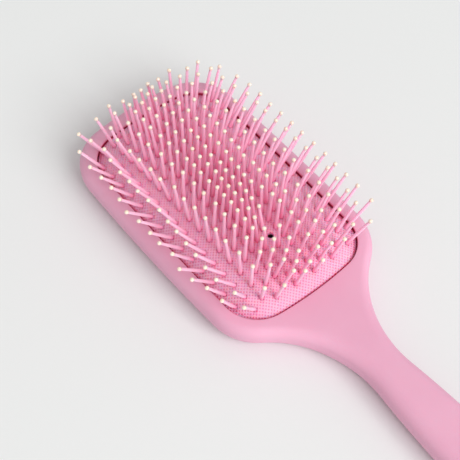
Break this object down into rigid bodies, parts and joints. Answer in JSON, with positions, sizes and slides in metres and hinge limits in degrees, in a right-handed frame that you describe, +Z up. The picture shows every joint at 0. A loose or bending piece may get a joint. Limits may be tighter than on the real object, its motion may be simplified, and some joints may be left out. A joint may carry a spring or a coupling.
{
  "type": "paddle hair brush",
  "caption": "Flat paddle hair brush with an air cushion pad, staggered ball-ended pins that sink into the pad, and a slim grip with a hanging hole.",
  "frame": {"origin": "middle of the brush's length and width, on the surface its back lies on", "axes": "+X from the head to the end of the grip, +Y across the head, +Z up out of the pad, the way the pins point"},
  "size_m": [0.2502, 0.0849, 0.0383],
  "materials": {
    "soft_touch": "matte soft-touch coating",
    "inner_plastic": "matte",
    "pad_rubber": "matte, fine mesh texture",
    "pin_nylon": "satin",
    "tip_resin": "glossy"
  },
  "bodies": {
    "brush_body": {"front_shell": "soft_touch", "back_shell": "soft_touch", "clamp_frame": "inner_plastic", "cushion_pad": "pad_rubber", "pins_zone_7": "pin_nylon", "tips_zone_7": "tip_resin"},
    "pin_field_1": {"pins_zone_1": "pin_nylon", "tips_zone_1": "tip_resin"},
    "pin_field_2": {"pins_zone_2": "pin_nylon", "tips_zone_2": "tip_resin"},
    "pin_field_3": {"pins_zone_3": "pin_nylon", "tips_zone_3": "tip_resin"},
    "pin_field_4": {"pins_zone_4": "pin_nylon", "tips_zone_4": "tip_resin"},
    "pin_field_5": {"pins_zone_5": "pin_nylon", "tips_zone_5": "tip_resin"},
    "pin_field_6": {"pins_zone_6": "pin_nylon", "tips_zone_6": "tip_resin"}
  },
  "joints": [
    {"name": "cushion_press", "type": "slide", "parent": "brush_body", "child": "pin_field_1", "axis": [0, 0, -1], "range_m": [0, 0.005], "stiffness_N_per_m": 600, "springref_m": -0.0005, "deforming": ["cushion_pad"]},
    {"name": "cushion_press_2", "type": "slide", "parent": "brush_body", "child": "pin_field_2", "axis": [0, 0, -1], "range_m": [0, 0.00457]},
    {"name": "cushion_press_3", "type": "slide", "parent": "brush_body", "child": "pin_field_3", "axis": [0, 0, -1], "range_m": [0, 0.00398]},
    {"name": "cushion_press_4", "type": "slide", "parent": "brush_body", "child": "pin_field_4", "axis": [0, 0, -1], "range_m": [0, 0.00322]},
    {"name": "cushion_press_5", "type": "slide", "parent": "brush_body", "child": "pin_field_5", "axis": [0, 0, -1], "range_m": [0, 0.00181]},
    {"name": "cushion_press_6", "type": "slide", "parent": "brush_body", "child": "pin_field_6", "axis": [0, 0, -1], "range_m": [0, 0.00113]}
  ],
  "couplings": [
    {"joint": "cushion_press_2", "follows": "cushion_press", "ratio": 0.9107},
    {"joint": "cushion_press_3", "follows": "cushion_press", "ratio": 0.7919},
    {"joint": "cushion_press_4", "follows": "cushion_press", "ratio": 0.6406},
    {"joint": "cushion_press_5", "follows": "cushion_press", "ratio": 0.3574},
    {"joint": "cushion_press_6", "follows": "cushion_press", "ratio": 0.2223}
  ]
}
